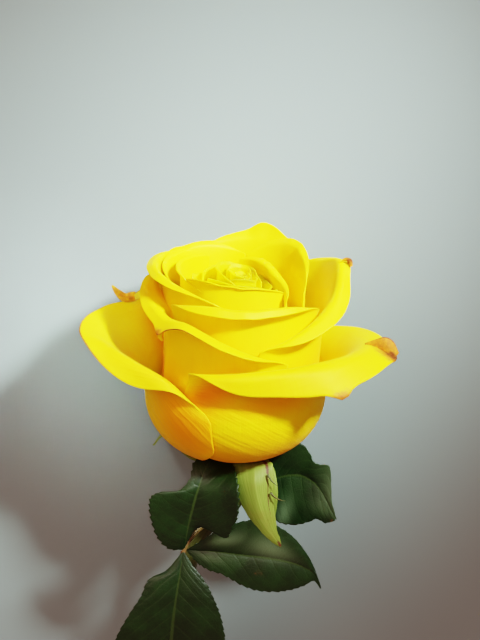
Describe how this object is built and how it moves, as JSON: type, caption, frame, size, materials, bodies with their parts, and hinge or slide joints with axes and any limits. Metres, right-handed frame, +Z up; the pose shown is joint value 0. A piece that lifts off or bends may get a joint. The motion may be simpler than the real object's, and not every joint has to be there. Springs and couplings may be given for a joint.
{
  "type": "cut rose",
  "caption": "Cut garden rose with a full furled bloom, reflexed guard petals, drooping sepals, a leafy upper stem and prickles, lying on its back petals and stem end.",
  "frame": {"origin": "on the surface the rose lies on, under the middle of its bounding box", "axes": "+Z up from that surface, +Y along the lying rose from the cut stem end towards the bloom, +X to the right of the bloom seen from above"},
  "size_m": [0.0824, 0.2214, 0.0642],
  "materials": {
    "petal": "matte",
    "leaf": "satin",
    "sepal": "matte",
    "stem": "satin",
    "prickle": "satin"
  },
  "bodies": {
    "root": {"bract_leaf": "leaf", "bract_stalk": "stem", "guard_petal_left": "petal", "guard_petal_right": "petal", "guard_petal_under": "petal", "heart_petal_01": "petal", "heart_petal_02": "petal", "heart_petal_03": "petal", "heart_petal_04": "petal", "heart_petal_05": "petal", "heart_petal_06": "petal", "heart_petal_07": "petal", "heart_petal_08": "petal", "heart_petal_09": "petal", "inner_petal_back": "petal", "inner_petal_front": "petal", "inner_petal_right": "petal", "leaf_stalk": "stem", "leaflet_end": "leaf", "leaflet_right": "leaf", "leaflet_upper": "leaf", "middle_petal_back": "petal", "middle_petal_front": "petal", "middle_petal_left": "petal", "middle_petal_right": "petal", "outer_petal_back": "petal", "outer_petal_left": "petal", "outer_petal_right": "petal", "prickle_1": "prickle", "prickle_2": "prickle", "prickle_3": "prickle", "prickle_4": "prickle", "prickle_5": "prickle", "receptacle": "sepal", "sepal_back_left": "sepal", "sepal_back_right": "sepal", "sepal_front": "sepal", "sepal_left": "sepal", "sepal_right": "sepal", "stem": "stem"}
  },
  "joints": []
}
